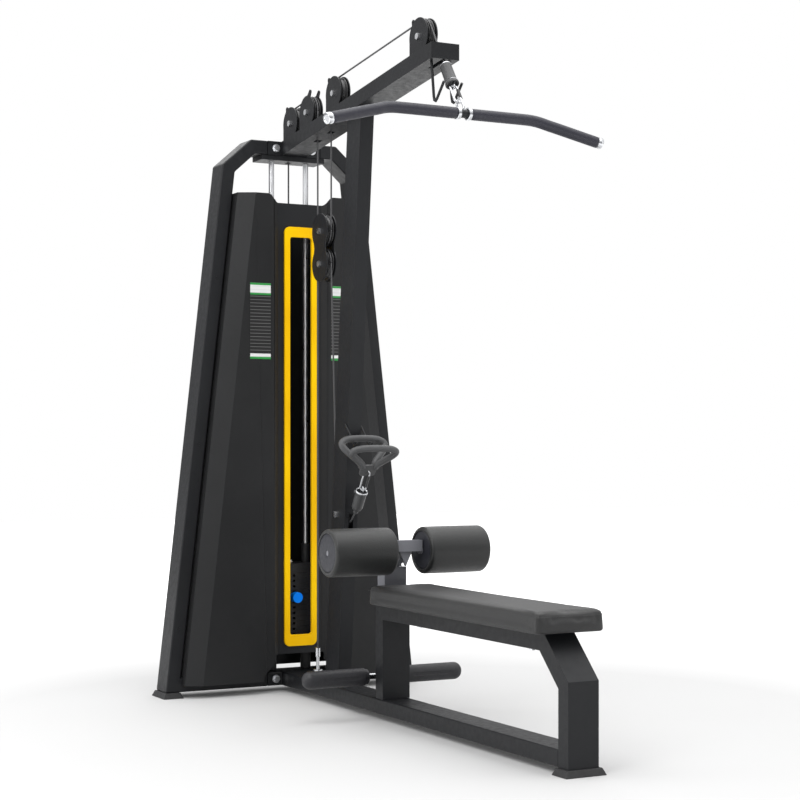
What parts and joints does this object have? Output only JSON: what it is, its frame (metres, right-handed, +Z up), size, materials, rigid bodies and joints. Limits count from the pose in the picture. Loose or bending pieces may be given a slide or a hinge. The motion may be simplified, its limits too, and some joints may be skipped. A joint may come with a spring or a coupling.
{
  "type": "lat pulldown and low row machine",
  "caption": "Plate-stack pulldown machine: A-shaped side frames, sloping boom with cable pulleys, lat bar, row handle, shrouded stack, bench pad and rollers.",
  "frame": {"origin": "on the floor, in the middle of the machine's footprint", "axes": "+Z up, X across the machine, the seat end towards -Y, the weight stack towards +Y"},
  "size_m": [1.022, 2.039, 2.257],
  "materials": {
    "charcoal": "satin textured powder coat",
    "shroud_grey": "satin textured powder coat",
    "trim_yellow": "gloss",
    "chrome": "polished",
    "steel": "brushed",
    "plate_iron": "black painted iron",
    "vinyl": "grained vinyl",
    "rubber": "matt",
    "grip_rubber": "satin rubber coat",
    "grip_grey": "satin",
    "knob_blue": "gloss",
    "nylon": "moulded nylon",
    "cable": "coated steel cable",
    "placard": "printed sticker"
  },
  "bodies": {
    "frame": {"side_frame_left": "charcoal", "side_frame_right": "charcoal", "boom": "charcoal", "main_post": "charcoal", "base_beam": "charcoal", "seat_frame": "charcoal", "feet": "rubber", "rod_plate": "charcoal", "guide_rods": "chrome", "stack_buffers": "rubber", "shroud_left": "shroud_grey", "shroud_right": "shroud_grey", "centre_panel": "charcoal", "window_trim": "trim_yellow", "rear_panel": "charcoal", "pulley_guards": "charcoal", "pulley_axles": "steel", "frame_bolts": "steel", "panel_screws": "steel", "placards": "placard", "bar_hook": "charcoal", "handle_hooks": "charcoal", "cable_anchor": "chrome", "seat_pad": "vinyl", "seat_bolts": "steel", "foot_roller_shaft": "chrome", "plates_resting": "plate_iron", "upper_cable_guided": "cable", "upper_cable_stack": "cable", "upper_cable_drop": "cable", "lower_cable_anchor": "cable", "lower_cable_post": "cable", "lower_cable_exit": "cable"},
    "stack": {"plates_lifted": "plate_iron", "head_plate": "plate_iron", "selector_stem": "chrome", "stack_cable_end": "chrome"},
    "selector": {"selector_pin": "knob_blue"},
    "bar": {"lat_bar": "grip_rubber", "lat_bar_caps": "chrome", "lat_bar_link": "grip_grey"},
    "block": {"block_frame": "charcoal", "block_axles": "steel", "upper_cable_turn": "cable", "lower_cable_turn": "cable"},
    "block_upper": {"block_wheel_upper": "nylon"},
    "block_lower": {"block_wheel_lower": "nylon"},
    "wheel_front": {"pulley_front": "nylon"},
    "wheel_middle": {"pulley_middle": "nylon"},
    "wheel_inner": {"pulley_inner": "nylon"},
    "wheel_rear": {"pulley_rear": "nylon"},
    "wheel_low": {"pulley_low": "nylon"},
    "row": {"row_handle": "grip_grey", "row_link": "grip_grey"},
    "carriage": {"thigh_carriage": "charcoal"},
    "thigh_left": {"thigh_roller_left": "vinyl"},
    "thigh_right": {"thigh_roller_right": "vinyl"},
    "foot_left": {"foot_roller_left": "rubber"},
    "foot_right": {"foot_roller_right": "rubber"},
    "pop_pin": {"pop_pin": "chrome"}
  },
  "joints": [
    {"name": "stack_lift", "type": "slide", "parent": "frame", "child": "stack", "axis": [0, 0, 1], "range_m": [0, 0.9], "deforming": ["upper_cable_stack"]},
    {"name": "bar_pull", "type": "slide", "parent": "frame", "child": "bar", "axis": [0, -0.549, -0.8358], "range_m": [0, 0.9]},
    {"name": "selector_pull", "type": "slide", "parent": "stack", "child": "selector", "axis": [0, -1, 0], "range_m": [0, 0.07]},
    {"name": "block_drop", "type": "slide", "parent": "frame", "child": "block", "axis": [0, 0, -1], "range_m": [0, 0.3], "deforming": ["upper_cable_drop", "lower_cable_anchor", "lower_cable_post"]},
    {"name": "row_pull", "type": "slide", "parent": "frame", "child": "row", "axis": [0, -0.9848, 0.1736], "range_m": [0, 0.6]},
    {"name": "spin_rear", "type": "hinge", "parent": "frame", "child": "wheel_rear", "pos_m": [0, 0.8835, 2.073], "axis": [1, 0, 0], "continuous": true},
    {"name": "spin_inner", "type": "hinge", "parent": "frame", "child": "wheel_inner", "pos_m": [0, 0.7415, 2.091], "axis": [1, 0, 0], "continuous": true},
    {"name": "spin_middle", "type": "hinge", "parent": "frame", "child": "wheel_middle", "pos_m": [0, 0.5215, 2.122], "axis": [1, 0, 0], "continuous": true},
    {"name": "spin_front", "type": "hinge", "parent": "frame", "child": "wheel_front", "pos_m": [0, -0.0965, 2.197], "axis": [1, 0, 0], "continuous": true},
    {"name": "spin_block_upper", "type": "hinge", "parent": "block", "child": "block_upper", "pos_m": [0, 0.6315, 1.654], "axis": [1, 0, 0], "continuous": true},
    {"name": "spin_block_lower", "type": "hinge", "parent": "block", "child": "block_lower", "pos_m": [0, 0.6315, 1.538], "axis": [1, 0, 0], "continuous": true},
    {"name": "spin_low", "type": "hinge", "parent": "frame", "child": "wheel_low", "pos_m": [0, 0.4815, 0.658], "axis": [1, 0, 0], "continuous": true},
    {"name": "roller_height", "type": "slide", "parent": "frame", "child": "carriage", "axis": [0, 0, 1], "range_m": [0, 0.12]},
    {"name": "spin_thigh_left", "type": "hinge", "parent": "carriage", "child": "thigh_left", "pos_m": [0, 0.0275, 0.558], "axis": [1, 0, 0], "continuous": true},
    {"name": "spin_thigh_right", "type": "hinge", "parent": "carriage", "child": "thigh_right", "pos_m": [0, 0.0275, 0.558], "axis": [1, 0, 0], "continuous": true},
    {"name": "pop_pin_pull", "type": "slide", "parent": "frame", "child": "pop_pin", "axis": [0, 1, 0], "range_m": [0, 0.012], "stiffness_N_per_m": 200},
    {"name": "spin_foot_left", "type": "hinge", "parent": "frame", "child": "foot_left", "pos_m": [0, 0.1815, 0.136], "axis": [1, 0, 0], "continuous": true},
    {"name": "spin_foot_right", "type": "hinge", "parent": "frame", "child": "foot_right", "pos_m": [0, 0.1815, 0.136], "axis": [1, 0, 0], "continuous": true}
  ],
  "couplings": [
    {"joint": "bar_pull", "follows": "stack_lift", "ratio": 1},
    {"joint": "spin_rear", "follows": "stack_lift", "rad_per_m": 18.182},
    {"joint": "spin_inner", "follows": "stack_lift", "rad_per_m": 18.182},
    {"joint": "spin_middle", "follows": "stack_lift", "rad_per_m": 18.182},
    {"joint": "spin_front", "follows": "stack_lift", "rad_per_m": 18.182},
    {"joint": "spin_block_upper", "follows": "stack_lift", "rad_per_m": -18.182},
    {"joint": "row_pull", "follows": "block_drop", "ratio": 2},
    {"joint": "spin_block_lower", "follows": "block_drop", "rad_per_m": 18.182},
    {"joint": "spin_low", "follows": "block_drop", "rad_per_m": -38.462}
  ]
}
